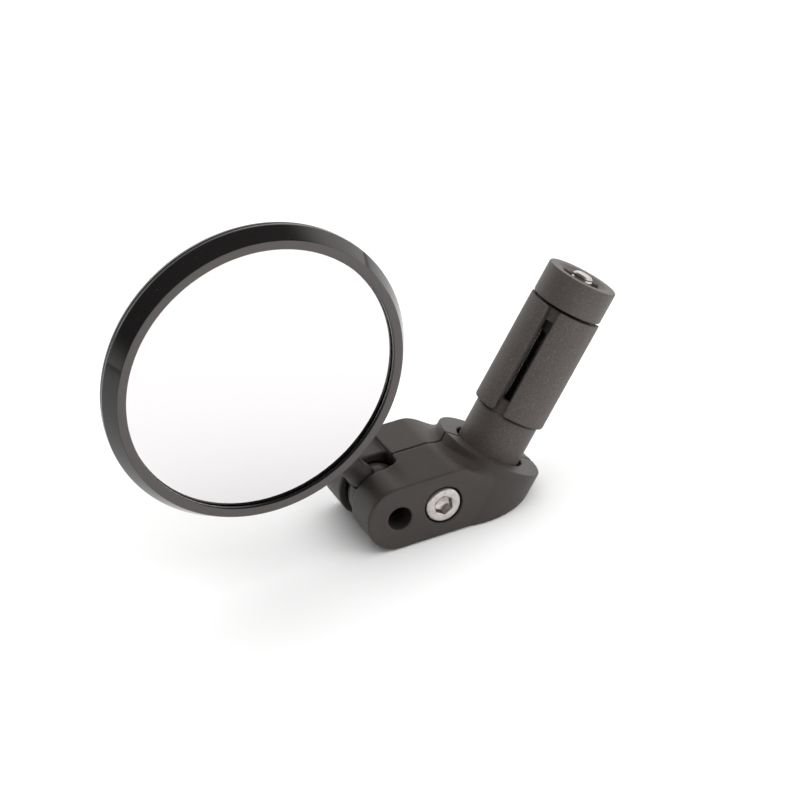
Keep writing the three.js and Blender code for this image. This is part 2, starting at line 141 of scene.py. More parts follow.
def spun(name, profile, where, sides=SIDES, ring=False):
    """A closed mesh from a profile. One that isn't a ring starts and ends on the axis."""
    rows = profile if ring else profile[1:-1]
    verts = [(r * MM * math.cos(a), r * MM * math.sin(a), h * MM)
             for r, h in rows for a in around(sides)]
    faces = bands(len(rows), sides, ring)
    if not ring:
        for tip, row, turn in ((profile[0], 0, 1), (profile[-1], len(rows) - 1, -1)):
            verts.append((0, 0, tip[1] * MM))
            rim = [row * sides + i for i in range(sides)]
            faces += [(rim[i - 1], len(verts) - 1, rim[i])[::turn] for i in range(sides)]
    return piece(name, verts, faces, where)

# %% [markdown]
# Every piece is made the same way: points and faces go into a mesh, its faces are turned to point
# out, and it is set down in its place. Settling it gives it a finish, a body to ride on and the
# CAD node that it stands in for.

# %% From points to a piece
def piece(name, verts, faces, where):
    """A mesh object in a place's own axes, with its faces pointing out."""
    mesh = bpy.data.meshes.new(name)
    mesh.from_pydata(verts, [], faces)
    mesh.update()
    if inside_out(mesh):
        mesh.flip_normals()
    mesh.shade_smooth()
    made = bpy.data.objects.new(name, mesh)
    bpy.context.scene.collection.objects.link(made)
    made.matrix_world = where
    return made


def inside_out(mesh):
    """Whether the volume under the mesh's faces comes out negative."""
    mesh.calc_loop_triangles()
    at = np.zeros(len(mesh.vertices) * 3)
    mesh.vertices.foreach_get("co", at)
    corners = np.zeros(len(mesh.loop_triangles) * 3, np.int32)
    mesh.loop_triangles.foreach_get("vertices", corners)
    a, b, c = (at.reshape(-1, 3)[corners.reshape(-1, 3)[:, i]] for i in range(3))
    return float(np.einsum("ij,ij->", a, np.cross(b, c))) < 0


def settle(made, node, body, finish):
    """Puts a finished piece on its body, in place of its CAD node."""
    made.data.materials.append(finish)
    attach(made, body)
    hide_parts(node)
    return made

# %% [markdown]
# The clamp, the stalk and the grip pads are mouldings: every edge is rounded and surfaces run
# into each other through fillets. Cutting and bevelling meshes makes poor fillets where a
# slanted ring meets a flat arm. Here each moulding is written as a distance, negative inside and
# positive outside, on a fine lattice. Two distances meet through a rounded edge of a chosen
# radius, and a skin is drawn where the distance is nought. The skin has one point in each cell
# that the surface crosses, set at the middle of its crossings, so it is even and smooth.

# %% Mouldings from distances
def meet(a, b, radius):
    """Inside both, with a rounded outer edge."""
    over = np.hypot(np.maximum(a + radius, 0), np.maximum(b + radius, 0))
    return np.minimum(np.maximum(a, b), -radius) + over


def merge(a, b, radius):
    """Inside either, with a fillet between them."""
    return -meet(-a, -b, radius)


def without(a, b, radius):
    return meet(a, -b, radius)


def lattice(low, high, step):
    """Coordinates of a lattice that reaches a little past a box, in millimetres."""
    margin = 2.5 * step
    lines = [np.arange(a - margin, b + margin, step) for a, b in zip(low, high)]
    return np.meshgrid(*lines, indexing="ij")


def crossings(field, axis):
    """Which lattice edges along an axis cross the surface, and how far along them."""
    first = np.moveaxis(field, axis, 0)[:-1]
    second = np.moveaxis(field, axis, 0)[1:]
    crossed = (first < 0) != (second < 0)
    share = np.where(crossed, first / np.where(crossed, first - second, 1), 0)
    return np.moveaxis(crossed, 0, axis), np.moveaxis(share, 0, axis)


def beside(array, axis, shifts):
    """The part of an edge array next to each cell, for one of an edge's four cells."""
    cut = [slice(None)] * 3
    for other, shift in zip([i for i in range(3) if i != axis], shifts):
        cut[other] = slice(shift, array.shape[other] - 1 + shift)
    return array[tuple(cut)]


CORNER_SHIFTS = [(0, 0), (1, 0), (1, 1), (0, 1)]

# %% [markdown]
# The skin's points come from the lattice edges that cross the surface. Each cell takes the mean
# of the crossings on its twelve edges. Each crossed edge then gives one face, whose corners are
# the points of the four cells round it.

# %% Skins
def skinned(field, low, step):
    """Points and four-sided faces of the surface where field is nought."""
    cells = [side - 1 for side in field.shape]
    total = np.zeros(cells + [3])
    count = np.zeros(cells)
    for axis in range(3):
        crossed, share = crossings(field, axis)
        others = [i for i in range(3) if i != axis]
        for shifts in CORNER_SHIFTS:
            hit = beside(crossed, axis, shifts)
            total[..., axis] += beside(share, axis, shifts) * hit
            for other, shift in zip(others, shifts):
                total[..., other] += shift * hit
            count += hit
    used = count > 0
    number = np.full(cells, -1)
    number[used] = np.arange(used.sum())
    points = np.argwhere(used) + total[used] / count[used][:, None]
    faces = [edge_faces(field, number, axis) for axis in range(3)]
    return points * step + np.array(low), np.concatenate(faces)


def edge_faces(field, number, axis):
    """One face round each crossed edge: the four cells that share it."""
    crossed, _ = crossings(field, axis)
    others = [i for i in range(3) if i != axis]
    at = np.argwhere(crossed)
    inner = (at[:, others[0]] > 0) & (at[:, others[1]] > 0)
    at = at[inner]
    corners = []
    for shifts in CORNER_SHIFTS:
        cell = at.copy()
        for other, shift in zip(others, shifts):
            cell[:, other] -= shift
        corners.append(number[tuple(cell.T)])
    quads = np.stack(corners, 1)
    outward = field[tuple(at.T)] < 0
    if axis == 1:
        outward = ~outward
    quads[outward] = quads[outward][:, ::-1]
    return quads


def moulded(name, shape, low, high, step, where):
    """A piece from a distance function of x, y and z, in a place's own axes."""
    grid = lattice(low, high, step)
    field = shape(*grid)
    points, faces = skinned(field, [line.min() for line in grid], step)
    made = piece(name, (points * MM).tolist(), faces.tolist(), where)
    print(name, len(faces), "faces")
    return made

# %% [markdown]
# Finishes are built from shader nodes. Writing them as links by hand hides the idea, so a small
# class wraps an output socket and takes part in arithmetic: each sum or product adds its Math
# node. Everything else, such as a noise or a mix, goes through one method.

# %% Shader arithmetic
class Value:
    """An output socket of a shader node, which arithmetic can use."""

    def __init__(self, nodes, socket):
        self.nodes = nodes
        self.socket = socket

    def math(self, operation, *numbers):
        return self.nodes.node("ShaderNodeMath", {"operation": operation}, dict(enumerate(numbers)))

    def __add__(self, other):
        return self.math("ADD", self, other)

    def __sub__(self, other):
        return self.math("SUBTRACT", self, other)

    def __rsub__(self, other):
        return self.math("SUBTRACT", other, self)

    def __mul__(self, other):
        return self.math("MULTIPLY", self, other)

    def above(self, low, high):
        """Rises smoothly from 0 at low to 1 at high."""
        settings = {"interpolation_type": "SMOOTHSTEP"}
        return self.nodes.node("ShaderNodeMapRange", settings,
                               {"Value": self, "From Min": low, "From Max": high})

    __radd__ = __add__
    __rmul__ = __mul__

# %% [markdown]
# A tree of nodes knows its own coordinates and makes every other node by type, settings and
# inputs. Sizes of patterns are given in millimetres, so that a grain is as fine as it is on the
# real surface.

# %% Node trees
class Nodes:
    """A tree of shader nodes, with the coordinates that its patterns start from."""

    def __init__(self, tree, coordinates):
        self.tree = tree
        self.here = self.node("ShaderNodeTexCoord", output=coordinates)

    def node(self, kind, settings=None, inputs=None, output=0):
        """Adds a node, sets it up, feeds its inputs and gives one of its outputs."""
        made = self.tree.nodes.new(kind)
        for key, value in (settings or {}).items():
            setattr(made, key, value)
        for key, value in (inputs or {}).items():
            self.feed(made.inputs[key], value)
        return Value(self, made.outputs[output])

    def feed(self, socket, value):
        """Links a value to a socket, or sets the socket's constant."""
        if isinstance(value, Value):
            self.tree.links.new(value.socket, socket)
        else:
            socket.default_value = value

    def noise(self, size_mm, detail=2.0, where=None, roughness=0.5):
        """Cloudy noise whose features are about size_mm across."""
        return self.node("ShaderNodeTexNoise", None, {
            "Vector": where or self.here, "Scale": 1 / (size_mm * MM),
            "Detail": detail, "Roughness": roughness})

    def grains(self, size_mm):
        """Distance to the nearest of many scattered points, from 0 to about 1."""
        return self.node("ShaderNodeTexVoronoi", None, {
            "Vector": self.here, "Scale": 1 / (size_mm * MM)}, output="Distance")

    def mix(self, share, first, second):
        """A colour between two, by share."""
        first, second = ((*c, 1) if isinstance(c, tuple) else c for c in (first, second))
        return self.node("ShaderNodeMix", {"data_type": "RGBA"},
                         {"Factor": share, 6: first, 7: second}, output=2)

    def stretched(self, x, y, z):
        """The piece's own coordinates, scaled along each axis."""
        return self.node("ShaderNodeVectorMath", {"operation": "MULTIPLY"},
                         {0: self.here, 1: (x, y, z)})

# %% [markdown]
# A finish is a material whose Principled shader is fed by such a tree. Constants go straight to
# the shader's own sockets. Only what varies over the surface comes from nodes.

# %% Finish
class Finish(Nodes):
    """A material with a Principled shader, and the nodes that feed it."""

    def __init__(self, name, **constants):
        self.material = bpy.data.materials.new(name)
        self.material.use_nodes = True
        self.shader = self.material.node_tree.nodes["Principled BSDF"]
        for socket, value in constants.items():
            self.shader.inputs[socket.replace("_", " ")].default_value = value
        super().__init__(self.material.node_tree, "Object")

    def raised(self, height, depth_mm):
        """Surface relief of a given depth."""
        bump = self.node("ShaderNodeBump", None, {
            "Strength": 1.0, "Distance": depth_mm * MM, "Height": height}, output="Normal")
        self.feed(self.shader.inputs["Normal"], bump)

    def shows(self, **sockets):
        """Feeds the shader's sockets and gives the finished material."""
        for socket, value in sockets.items():
            self.feed(self.shader.inputs[socket.replace("_", " ")], value)
        return self.material

# %% [markdown]
# The clamp and stalk are black nylon from a finely spark-eroded mould: satin, slightly warm, with
# a very small even grain. Faint flow clouds change the sheen a little. The plug's boss and cap
# are the same nylon filled with glass fibre, so pale fibre ends speckle the skin. The pads are a
# softer, more matt plastic with a denser speckle.

# %% Plastics
def grained_plastic(name, dark, pale, roughness, grain_mm, speckle, depth_mm):
    """Moulded plastic: dark body, pale specks, fine grain and slow changes of sheen."""
    finish = Finish(name, Specular_IOR_Level=0.45)
    clouds = finish.noise(9, 3)
    fine = finish.noise(grain_mm, 2)
    specks = finish.noise(grain_mm * 1.4, 1, roughness=0.7).above(0.54, 0.68) * speckle
    body = finish.mix(clouds.above(0.3, 0.7), dark, tuple(1.18 * c for c in dark))
    finish.raised(fine, depth_mm)
    return finish.shows(Base_Color=finish.mix(specks, body, pale),
                        Roughness=clouds * 0.1 + fine * 0.08 + (roughness - 0.09))


clamp_finish = grained_plastic("clamp_nylon", (0.029, 0.0240, 0.0220), (0.064, 0.055, 0.050),
                               0.5, 0.16, 0.25, 0.012)
stalk_finish = grained_plastic("stalk_nylon", (0.024, 0.0205, 0.019), (0.052, 0.046, 0.042),
                               0.42, 0.14, 0.15, 0.006)
plug_finish = grained_plastic("plug_nylon", (0.058, 0.049, 0.0455), (0.17, 0.155, 0.148),
                              0.5, 0.17, 0.4, 0.035)
grip_finish = grained_plastic("grip_rubber", (0.060, 0.0505, 0.047), (0.19, 0.175, 0.165),
                              0.6, 0.16, 0.45, 0.045)

# %% [markdown]
# The bezel is one black moulding with two finishes: a polished sloping band, and a satin front
# lip that doesn't glare in the rider's eyes. Both are cells of the same mesh, told apart by how
# far forward they lie, so roughness changes along the piece's own Z. The back shell is the same
# black with a softer polish.

# %% Polished black
def polished_black(name, roughness, colour, lip_mm=None, lip_colour=(0.066, 0.058, 0.056)):
    finish = Finish(name, Specular_IOR_Level=0.5)
    dust = finish.noise(0.5, 1, roughness=0.8).above(0.74, 0.8)
    wave = finish.noise(6, 2)
    rough = wave * 0.06 + dust * 0.25 + (roughness - 0.03)
    base = finish.mix(dust * 0.35, colour, (0.2, 0.19, 0.19))
    if lip_mm is not None:
        forward = finish.node("ShaderNodeSeparateXYZ", None, {0: finish.here}, output=2)
        lip = forward.above((lip_mm - 0.08) * MM, lip_mm * MM)
        grain = finish.noise(0.15, 2)
        finish.raised(grain * lip, 0.008)
        rough = rough + lip * 0.3
        base = finish.mix(lip, base, lip_colour)
    else:
        finish.raised(finish.noise(0.2, 2), 0.003)
    return finish.shows(Base_Color=base, Roughness=rough)

# %% [markdown]
# Mirror glass is silvered on its back, so it is all reflection with a faint cool body. The shader
# is a metal with almost no roughness. A trace of dust and very slow waviness keep it from
# looking like a perfect computed surface.

# %% Mirror glass
def silvered_glass():
    finish = Finish("silvered_glass", Metallic=1.0)
    film = finish.noise(14, 3)
    specks = finish.noise(0.35, 1, roughness=0.8).above(0.78, 0.83)
    return finish.shows(Base_Color=finish.mix(specks, (0.83, 0.815, 0.82), (0.7, 0.69, 0.68)),
                        Roughness=film * 0.02 + specks * 0.2 + 0.008)


glass_finish = silvered_glass()

# %% [markdown]
# The screws are plated steel. Turning and rolling leave very fine rings round the axis, and
# plating softens them. Stretching the noise's coordinates makes it long round the axis and short
# along it, which reads as machining. The wedge nut's steel is made nearly black: partly a
# blackened finish, partly painted shade for the dark deep in the cap's pocket.

# %% Steels
def plated_steel(name, colour, roughness, stain):
    finish = Finish(name, Metallic=1.0)
    rings = finish.noise(0.12, 2, finish.stretched(0.25, 0.25, 1.0))
    handled = finish.noise(1.6, 3).above(0.35, 0.75)
    finish.raised(rings, 0.01)
    return finish.shows(Base_Color=finish.mix(handled * 0.6, colour, stain),
                        Roughness=handled * 0.12 + rings * 0.08 + roughness)


bright_steel = plated_steel("bright_steel", (0.60, 0.565, 0.545), 0.24, (0.36, 0.335, 0.315))
# Near-black steel for the wedge nut: partly a blackened finish, partly painted shade for its deep
# pocket.
blackened_painted_shade_steel = plated_steel("black_steel_painted_shade", (0.05, 0.048, 0.046), 0.4, (0.09, 0.085, 0.08))

# %% [markdown]
# Foam is open cells: a dull pale body pitted by small round hollows. A cell pattern raises it and
# shades it a little.

# %% Foam
def adhesive_foam():
    finish = Finish("adhesive_foam", Roughness=0.95)
    cells = finish.grains(0.4)
    finish.raised(cells, 0.05)
    return finish.shows(Base_Color=finish.mix(cells, (0.78, 0.76, 0.72), (0.6, 0.58, 0.55)))


foam_finish = adhesive_foam()

# %% [markdown]
# The clamp is two halves with a hairline gap between them. An arm with a round end carries the
# ball, a slanted collar carries the plug, and a scoop runs round the collar so that it stands
# clear of the arm. The front half's top slopes from the parting line down to the front, while
# the back half's top is flat. Past the slot's end the back ear is stepped down, which leaves a
# crisp edge. Sizes that the CAD's nodes show are read from them; the others are given here.

# %% The clamp's sizes
clamp_low, clamp_high = span("clamp_front_half", clamp_place)
THICK = 12.4
ARM = -clamp_low[2]
SEAM = 0.15
CROWN = 1.1
EDGE = 0.28
SLOT = 3.3
SLOT_END = 4.2
SLOT_CORNER = 1.2
BALL = span("stalk_ball", clamp_place)[1][1]
BALL_SEAT = BALL + GAP
BALL_HOLE = 2.8
SCREW_X = (joints["clamp_screw_turn"]["pos_m"][0] - ball_centre.x) / MM
HEAD_RADIUS = span("clamp_screw", clamp_place)[1][2]
HEAD_SINK = 6.3
SHANK_HOLE = 2.8
NUT_SINK = 4.6
NUT_FLATS = 8.0
COLLAR = 12.8
COLLAR_FACE = 3.6
SCOOP_FLOOR = 0.6
SCOOP_FILLET = 2.0
SCOOP_BLEND = 1.4
SCOOP_TOP = 2.8
boss_low, boss_high = span("plug_core", plug_place)
FLANGE = boss_high[0]
FLANGE_LOW = boss_low[2]
FLANGE_HIGH = 0.8
BOSS = 7.55
MOUTH_GAP = 0.7
HEAD_GAP = 0.35
print("clamp half:", round(THICK, 1), "mm thick, ball", round(2 * BALL, 1), "mm")

# %% [markdown]
# Each half is the same formula with the side's sign changed. The arm ends at the plug's axis and
# the collar takes over. The scoop is a cylinder's outside above a slanted floor, with a broad
# fillet between them, and it blends into the arm's top.

# %% The clamp as a distance
def in_plug_axes(x, y, z):
    """Coordinates in the plug's place of points given in the clamp's place."""
    back = plug_place.inverted() @ clamp_place
    rows = [[back[i][j] for j in range(3)] + [back[i][3] / MM] for i in range(3)]
    return [row[0] * x + row[1] * y + row[2] * z + row[3] for row in rows]


def smooth_step(x, low, high):
    t = np.clip((x - low) / (high - low), 0, 1)
    return t * t * (3 - 2 * t)


def arm(x, y, z, side):
    """The arm with its round end. Its top slopes in the front half and steps down in the back."""
    bar = np.hypot(np.minimum(x, 0), z) - ARM
    if side < 0:
        rise = CROWN * (1 - np.abs(y) / THICK) * smooth_step(x, 0.5, SLOT_END)
        bar = bar - np.where(z > 0, rise, 0)
    else:
        bar = np.minimum(bar, np.maximum(meet(SLOT_END - x, z - ARM - CROWN, 0.2), -z))
    return meet(bar, np.abs(y) - THICK, EDGE)


def clamp_shape(x, y, z, side):
    s, f, u = in_plug_axes(x, y, z)
    radial = np.hypot(s, f)
    scoop = meet(COLLAR - radial, SCOOP_FLOOR - u, SCOOP_FILLET)
    bar = np.maximum(arm(x, y, z, side), -s)
    bar = without(bar, np.minimum(scoop, SCOOP_TOP - u), SCOOP_BLEND)
    collar = meet(radial - COLLAR, u - COLLAR_FACE, EDGE)
    body = np.minimum(bar, np.maximum(collar, -x))
    body = meet(body, -z - ARM, EDGE)
    body = meet(body, SEAM - side * y, 0.15)
    return clamp_hollows(body, x, y, z, side, radial, u)


def clamp_hollows(body, x, y, z, side, radial, u):
    """Slot, ball seat, holes and pockets, cut out of the body."""
    slot = meet(np.abs(y) - SLOT, x - SLOT_END, SLOT_CORNER)
    body = without(body, slot, 0.3)
    body = without(body, np.sqrt(x * x + y * y + z * z) - BALL_SEAT, 0.2)
    body = without(body, np.hypot(x, z) - BALL_HOLE, 0.25)
    body = without(body, np.hypot(x - SCREW_X, z) - SHANK_HOLE, 0.1)
    if side < 0:
        sink = np.maximum(np.hypot(x - SCREW_X, z) - HEAD_RADIUS - GAP, y + THICK - HEAD_SINK)
    else:
        hexagon = hexagonal(x - SCREW_X, z) - NUT_FLATS / 2 - GAP
        sink = np.maximum(hexagon, THICK - NUT_SINK - y)
    body = without(body, sink, 0.2)
    body = without(body, np.maximum(radial - BOSS - MOUTH_GAP, -u), 0.3)
    pocket = np.maximum(radial - FLANGE - GAP, np.maximum(FLANGE_LOW - GAP - u, u - FLANGE_HIGH - GAP))
    body = without(body, pocket, 0.15)
    return without(body, np.maximum(radial - HEAD_RADIUS - HEAD_GAP, u), 0.3)


def hexagonal(a, b):
    """Distance from the centre to the side of a hexagon with corners along a."""
    third = math.pi / 3
    first, second, last = (np.abs(a * math.sin(k * third) + b * math.cos(k * third)) for k in range(3))
    return np.maximum(np.maximum(first, second), last)

# %% [markdown]
# The hollows come last, so that the parting line and the outer edges are already rounded where
# a hole meets them. The neck's slot has rounded corners, the seat is a sphere a little larger
# than the ball, and the screw's head and nut sink into the two outer faces.

# %% Both halves
CLAMP_STEP = 0.24
for node, side in (("clamp_front_half", -1), ("clamp_back_half", 1)):
    low, high = span(node, clamp_place)
    half = moulded(node.replace("half", "moulding"),
                   lambda x, y, z: clamp_shape(x, y, z, side), low, high, CLAMP_STEP, clamp_place)
    settle(half, node, "clamp", clamp_finish)

# %% [markdown]
# The stalk is a separate moulding that snaps between the halves: a ball with a flat-sided hole
# through the clamp's side, a slim waisted neck, and a foot that spreads behind the mirror and
# takes two screws. The ball and the neck turn on different joints, so they are separate pieces
# that meet on the neck's axis.

# %% Ball, neck and foot
bezel_low, bezel_high = span("mirror_bezel", mirror_place)
shell_low, shell_high = span("mirror_back_shell", mirror_place)
WIDEST = bezel_high[0]
SHELL_EDGE = shell_high[2]
stalk_low, stalk_high = span("mirror_stalk", neck_place)
PIN = 1.9
PIN_END = -3.4
PIN_TOP = 4.4
FOOT_CENTRE = 25
FOOT = 8
HALF_WIDTHS = [(4, 1.9), (6.9, 3.0), (9.5, 2.75), (12, 3.0), (17, 6.2), (21, 8.0), (26, 8.0)]
FRONT_DEPTHS = [(4, 1.9), (6.9, 3.0), (12, 2.9), (16, 2.2)]
BACK_DEPTHS = [(4, 1.9), (6.9, 3.0), (9.5, 2.75), (12, 3.0), (15, 4.4), (19, 6.3), (24, 6.9),
               (31, 6.3), (34, 5.4)]
print("stalk:", round(stalk_high[2] - stalk_low[2], 1), "mm along the neck")


def along(distance, points):
    """A smooth curve through distance and value pairs."""
    xs, ys = zip(*points)
    place_in = np.clip(np.interp(distance, xs, np.arange(len(xs))), 0, len(xs) - 1.0001)
    low = place_in.astype(int)
    share = place_in - low
    share = share * share * (3 - 2 * share)
    ys = np.array(ys)
    return ys[low] * (1 - share) + ys[low + 1] * share


def stalk_shape(x, y, z):
    """In the neck's axes: z along the neck, y towards the front, x across."""
    half_width = along(z, HALF_WIDTHS)
    front, behind = along(z, FRONT_DEPTHS), along(z, BACK_DEPTHS)
    middle, depth = (front - behind) / 2, (front + behind) / 2
    round_neck = (np.hypot(x / half_width, (y - middle) / depth) - 1) * np.minimum(half_width, depth)
    sides = np.where(z > FOOT_CENTRE, np.hypot(x, z - FOOT_CENTRE) - FOOT, np.abs(x) - half_width)
    plate = meet(sides, np.abs(y - middle) - depth, 1.0)
    share = smooth_step(z, 14, 21)
    body = round_neck * (1 - share) + plate * share
    body = np.where(z < PIN_TOP, np.hypot(x, y) - PIN, body)
    return foot_seat(np.maximum(body, PIN_END - z), x, y, z)


def foot_seat(body, x, y, z):
    """Cuts the back shell's shape out of the foot."""
    to_mirror = mirror_place.inverted() @ neck_place
    rows = [[to_mirror[i][j] for j in range(3)] + [to_mirror[i][3] / MM] for i in range(3)]
    a, b, c = (row[0] * x + row[1] * y + row[2] * z + row[3] for row in rows)
    radius = np.hypot(a, b)
    shell = np.maximum(radius - WIDEST - GAP, shell_rear(radius) - GAP - c)
    return without(body, shell, 0.25)


SHELL_PROFILE = [(0, 7.0), (16, 6.4), (25, 5.4), (30.5, 4.2), (33, 2.9), (34, 1.4), (34.4, 0)]


def shell_rear(radius):
    """Height of the back shell's outside, which is behind the mirror, so negative."""
    radii, rises = zip(*SHELL_PROFILE)
    return SHELL_EDGE - np.interp(radius, radii, rises)


stalk = moulded("stalk_moulding", stalk_shape, stalk_low, stalk_high, 0.2, neck_place)
settle(stalk, "mirror_stalk", "mirror_head", stalk_finish)

# %% [markdown]
# The ball is a sphere with a socket for the neck's pin. The socket's mouth is a wide cone, since
# the neck thickens as soon as it leaves the ball.

# %% Ball
def ball_shape(x, y, z):
    ball = np.sqrt(x * x + y * y + z * z) - BALL
    socket = np.maximum(np.hypot(x, y) - np.where(z > 4.3, 2.2 + (z - 4.3) * 0.42, 2.2), -3.8 - z)
    return without(ball, socket, 0.15)


ball = moulded("stalk_ball_moulding", ball_shape, [-BALL] * 3, [BALL] * 3, 0.22, neck_place)
settle(ball, "stalk_ball", "ball", stalk_finish)

# %% [markdown]
# The mirror's head is turned work: a bezel ring, the convex glass behind its lip, and a shallow
# back shell. Profiles run from the mirror's axis, with heights towards the front. The bezel's
# band slopes outwards from the lip to the widest circle, where a narrow bead meets the shell.

# %% Bezel, glass and back shell
LIP = bezel_high[2]
WIDEST_HEIGHT = bezel_low[2]
LIP_INNER = 30.3
LIP_OUTER = 32.5
GLASS = (glass_high.x - glass_low.x) / 2 / MM
GLASS_TOP = span("mirror_glass", mirror_place)[1][2]
GLASS_CURVE = 400.0
GLASS_THICK = 2.0
GLASS_RINGS = 24
HEAD_SIDES = 288


def glass_height(radius):
    return GLASS_TOP - radius * radius / (2 * GLASS_CURVE)


lip_back = glass_height(LIP_INNER) + 0.3
bezel_profile = [(LIP_INNER, lip_back), (LIP_INNER, LIP - 0.25), (LIP_INNER + 0.25, LIP),
                 (LIP_OUTER - 0.2, LIP), (LIP_OUTER, LIP - 0.2),
                 (WIDEST, WIDEST_HEIGHT + 0.75), (WIDEST, WIDEST_HEIGHT),
                 (33.2, WIDEST_HEIGHT), (31.6, lip_back - 0.8), (31.6, lip_back)]
closing = rounded([bezel_profile[-1], *bezel_profile, bezel_profile[0]], 0.14)[1:-1]
bezel = spun("bezel_ring", closing, mirror_place, ring=True, sides=HEAD_SIDES)
bezel_finish = polished_black("bezel_black", 0.09, (0.008, 0.0072, 0.007), lip_mm=LIP - 0.05)
settle(bezel, "mirror_bezel", "mirror_head", bezel_finish)

# %% [markdown]
# The glass is thin and evenly curved, so its back follows its front. Its edge hides behind the
# lip.

# %% Convex glass
radii = [GLASS * i / GLASS_RINGS for i in range(GLASS_RINGS + 1)]
front = [(r, glass_height(r)) for r in radii]
rear = [(r, glass_height(r) - GLASS_THICK) for r in reversed(radii)]
rim = rounded([front[-2], front[-1], rear[0], rear[1]], 0.12)[1:-1]
glass = spun("convex_glass", [*front[:-1], *rim, *rear[1:]], mirror_place, sides=HEAD_SIDES)
settle(glass, "mirror_glass", "mirror_head", glass_finish)

# %% [markdown]
# The back shell is a shallow dish. Its outside is one smooth run from the bead to the middle, and
# the wall is even, as a moulding's wall has to be to cool without sinking.

# %% Back shell
WALL = 1.7
SHELL_SIDES = 256
outside = [(r, SHELL_EDGE - rise) for r, rise in reversed(SHELL_PROFILE)]
inside = [(0, SHELL_EDGE - 7.0 + WALL), (16, SHELL_EDGE - 6.4 + WALL), (25, SHELL_EDGE - 5.4 + WALL),
          (30, SHELL_EDGE - 4.2 + WALL), (31.4, SHELL_EDGE - 2), (31.4, SHELL_EDGE)]
shell = spun("back_shell", rounded([*inside, *outside], 2.5, 6), mirror_place, sides=SHELL_SIDES)
shell_finish = polished_black("shell_black", 0.3, (0.012, 0.011, 0.0105))
settle(shell, "mirror_back_shell", "mirror_head", shell_finish)

# %% [markdown]
# The plug's core is one glass-filled moulding: a flange held in the clamp, a boss that shows
# above the collar, and three strips that carry the pads. Its top ends under the cap. Three long
# windows between the strips let it bow outwards. A fine seam runs up the boss where the mould
# parted.

# %% Plug core
pad_low, pad_high = span("grip_pad_1", plug_place)
cap_low, cap_high = span("wedge_cap", plug_place)
PAD_FOOT, PAD_TOP = pad_low[2], pad_high[2]
CORE = 6.95
CORE_BORE = 5.0
BOSS_TOP = 12.8
BORE_FLOOR = 13
BOLT_HOLE = 2.85
BOLT_SEAT = 4.9
HEAD_ROOM = 0.4
WINDOW_HALF_WIDTH = 1.2
WINDOW_MIDDLE, WINDOW_HALF_LENGTH = 26.4, 10.3
FIRST_SLOT = 38
PADS = 3
print("plug:", round(cap_high[2], 1), "mm long, pads", round(PAD_TOP - PAD_FOOT, 1), "mm")


def turned_by(a, b, degrees):
    """Coordinates along and across a direction at an angle round the plug."""
    c, s = math.cos(math.radians(degrees)), math.sin(math.radians(degrees))
    return a * c + b * s, b * c - a * s


def core_shape(x, y, z):
    radial = np.hypot(x, y)
    boss = meet(radial - BOSS, np.maximum(z - BOSS_TOP, -z), 0.5)
    flange = meet(radial - FLANGE, np.maximum(z - FLANGE_HIGH, FLANGE_LOW - z), 0.15)
    strips = meet(radial - CORE, np.maximum(z - boss_high[2], -z), 0.15)
    body = merge(np.minimum(boss, flange), strips, 0.15)
    body = np.minimum(body, seam_ridge(x, y, z, radial))
    bore = np.maximum(radial - np.where(z > BORE_FLOOR, CORE_BORE, BOLT_HOLE), BOLT_SEAT - z)
    body = without(body, bore, 0.2)
    body = without(body, np.maximum(radial - HEAD_RADIUS - HEAD_ROOM, z - BOLT_SEAT - 0.2), 0.2)
    for slot in range(PADS):
        out, across = turned_by(x, y, FIRST_SLOT + slot * 360 / PADS)
        length = np.abs(z - WINDOW_MIDDLE) - WINDOW_HALF_LENGTH
        window = np.maximum(np.abs(across) - WINDOW_HALF_WIDTH, length)
        body = without(body, np.maximum(window, -out), 0.2)
    return body


def seam_ridge(x, y, z, radial):
    """The hairline of flash along the boss's upper side."""
    line = np.maximum(np.abs(y) - 0.09, -x)
    return np.maximum(np.maximum(line, radial - BOSS - 0.06), np.abs(z - 8) - 5.0)


core = moulded("plug_core_moulding", core_shape, boss_low, boss_high, 0.22, plug_place)
settle(core, "plug_core", "plug", plug_finish)

# %% [markdown]
# Three grip pads ride on the core. Each is a piece of tube with softened edges. One pad is
# written as a distance and made three times, turned a third of a circle each time, so all three
# have the same skin.

# %% Grip pads
PAD_INNER, PAD_OUTER = 7.3, 8.5
HALF_SLOT = 10


def pad_shape(number):
    middle = FIRST_SLOT + (number + 0.5) * 360 / PADS

    def shape(x, y, z):
        radial = np.hypot(x, y)
        out, across = turned_by(x, y, middle)
        angle = np.abs(np.degrees(np.arctan2(across, out)))
        side = np.radians(angle - (180 / PADS - HALF_SLOT)) * PAD_OUTER
        wall = meet(radial - PAD_OUTER, PAD_INNER - radial, 0.2)
        outline = meet(side, np.maximum(z - PAD_TOP, PAD_FOOT - z), 0.7)
        return meet(wall, outline, 0.18)

    return shape


for number in range(PADS):
    node = f"grip_pad_{number + 1}"
    low, high = span(node, plug_place)
    pad = moulded(f"grip_strip_{number + 1}", pad_shape(number), low, high, 0.2, plug_place)
    settle(pad, node, f"pad_{number + 1}", grip_finish)

# %% [markdown]
# The cap closes the plug. Its skirt is plain outside, its mouth is a shallow funnel round a
# hexagonal pocket, and the pocket holds the nut that the bolt draws up. Below it a cone runs down
# inside the core: pulled in, it spreads the three strips.

# %% Wedge cap
CAP = cap_high[0]
CAP_FOOT = 40.5
MOUTH = 6.1
FUNNEL_SLOPE, FUNNEL_SCALE = 1.9, 0.47
WEB = 1.2
CONE_TIP, CONE_GROWTH = 3.6, 0.143


